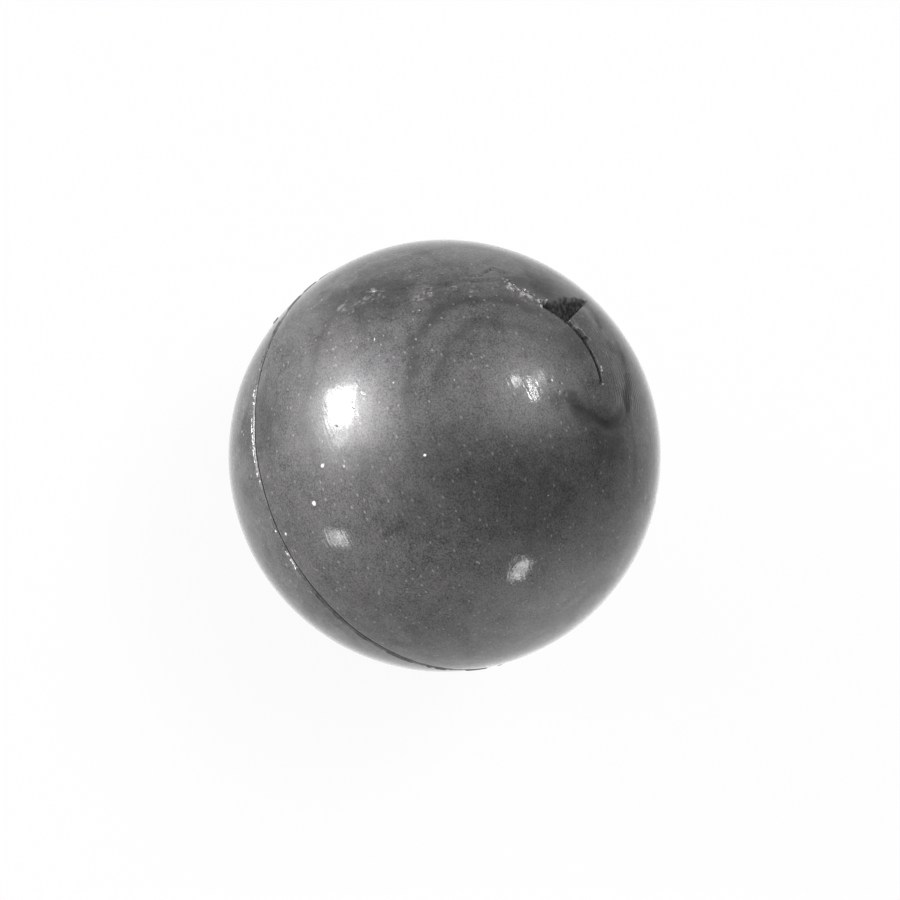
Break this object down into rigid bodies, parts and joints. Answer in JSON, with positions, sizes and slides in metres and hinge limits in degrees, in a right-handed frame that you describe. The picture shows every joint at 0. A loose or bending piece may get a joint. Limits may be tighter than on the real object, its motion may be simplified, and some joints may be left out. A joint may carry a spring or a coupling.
{
  "type": "case opening friction ball",
  "caption": "Air-filled rubber friction ball that grips and turns screw-down watch case backs by hand, with a moulded two-half cover and a needle valve.",
  "frame": {"origin": "centre of the ball", "axes": "+Z along the mould axis, from the needle port's pole to the pole beside the lap; XY is the parting plane; -Y is the side of the lap's front edge"},
  "size_m": [0.0652, 0.0652, 0.0652],
  "materials": {
    "cover_rubber": "moulded dark grey rubber with a soft sheen",
    "cement": "cured black rubber cement",
    "bladder_rubber": "smooth black rubber with dusting powder",
    "gum_tape": "translucent gum rubber tape",
    "boot_rubber": "moulded black rubber",
    "plug_gum": "soft gum rubber, lightly oiled"
  },
  "bodies": {
    "root": {"upper_cover": "cover_rubber", "lower_cover": "cover_rubber", "cover_cement_ring": "cement", "upper_bladder": "bladder_rubber", "lower_bladder": "bladder_rubber", "bladder_splice_tape": "gum_tape", "valve_boot": "boot_rubber", "valve_plug": "plug_gum"}
  },
  "joints": []
}
